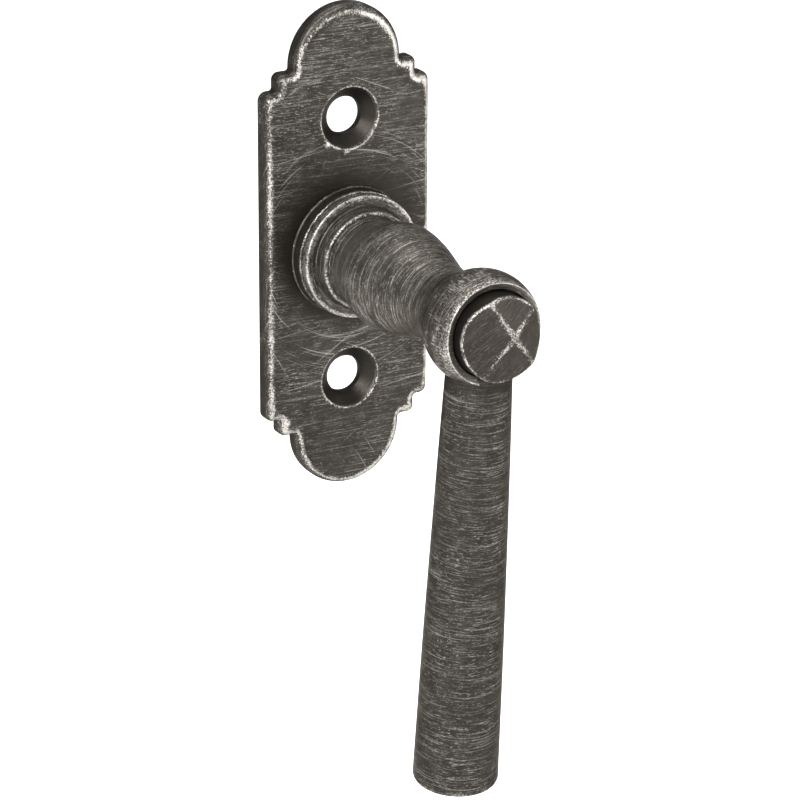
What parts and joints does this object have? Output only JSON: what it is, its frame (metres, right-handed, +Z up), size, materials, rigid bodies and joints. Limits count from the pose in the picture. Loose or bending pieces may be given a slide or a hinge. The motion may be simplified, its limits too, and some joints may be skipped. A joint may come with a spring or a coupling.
{
  "type": "window handle",
  "caption": "Window handle with a shaped face plate, a turned neck and ball knuckle with a faceted head, and a tapered round grip that turns a square spindle.",
  "frame": {"origin": "on the spindle axis, in the plane of the hub's back, 1 mm behind the plate's back face", "axes": "+Z up along the plate, +Y along the spindle into the window, +X across the plate"},
  "size_m": [0.0292, 0.0692, 0.1175],
  "materials": {
    "plate_iron": "dark patina, brushed back to bright metal on edges",
    "collar_iron": "dark patina, brushed back to bright metal on edges",
    "neck_iron": "dark patina, brushed back to bright metal on edges",
    "knuckle_iron": "dark patina, brushed back to bright metal on edges",
    "head_iron": "dark patina, brushed back to bright metal on edges",
    "grip_iron": "dark patina, brushed back to bright metal on edges",
    "bush_brass": "plain",
    "washer_plastic": "natural nylon",
    "cover_steel": "bright zinc plated",
    "rivet_steel": "bright zinc plated",
    "spring_steel": "bright zinc plated",
    "ball_steel": "bright zinc plated",
    "disc_steel": "bright zinc plated",
    "ring_steel": "bright zinc plated",
    "spindle_steel": "bright zinc plated",
    "stud_steel": "bright zinc plated",
    "grub_steel": "black oxide"
  },
  "bodies": {
    "plate": {"backplate": "plate_iron", "bearing_collar": "collar_iron", "neck_bush": "bush_brass", "thrust_washer": "washer_plastic", "rear_cover": "cover_steel", "cover_rivets": "rivet_steel", "upper_detent_spring": "spring_steel", "lower_detent_spring": "spring_steel"},
    "handle": {"neck": "neck_iron", "disc_spring": "spring_steel", "index_disc": "disc_steel", "retaining_ring": "ring_steel", "spindle": "spindle_steel", "spindle_grub_screw": "grub_steel", "knuckle": "knuckle_iron", "lock_washer": "ring_steel", "pyramid_head_screw": "head_iron", "grip_stud": "stud_steel", "grip": "grip_iron"},
    "top_detent": {"upper_ball": "ball_steel"},
    "bottom_detent": {"lower_ball": "ball_steel"}
  },
  "joints": [
    {"name": "handle_turn", "type": "hinge", "parent": "plate", "child": "handle", "pos_m": [0, 0, 0], "axis": [0, 1, 0], "continuous": true},
    {"name": "upper_ball_slide", "type": "slide", "parent": "plate", "child": "top_detent", "axis": [0, 0, -1], "range_m": [0, 0.00045], "stiffness_N_per_m": 1000, "springref_m": 0.0012, "deforming": ["upper_detent_spring"]},
    {"name": "lower_ball_slide", "type": "slide", "parent": "plate", "child": "bottom_detent", "axis": [0, 0, 1], "range_m": [0, 0.00045], "stiffness_N_per_m": 1000, "springref_m": 0.0012, "deforming": ["lower_detent_spring"]}
  ]
}
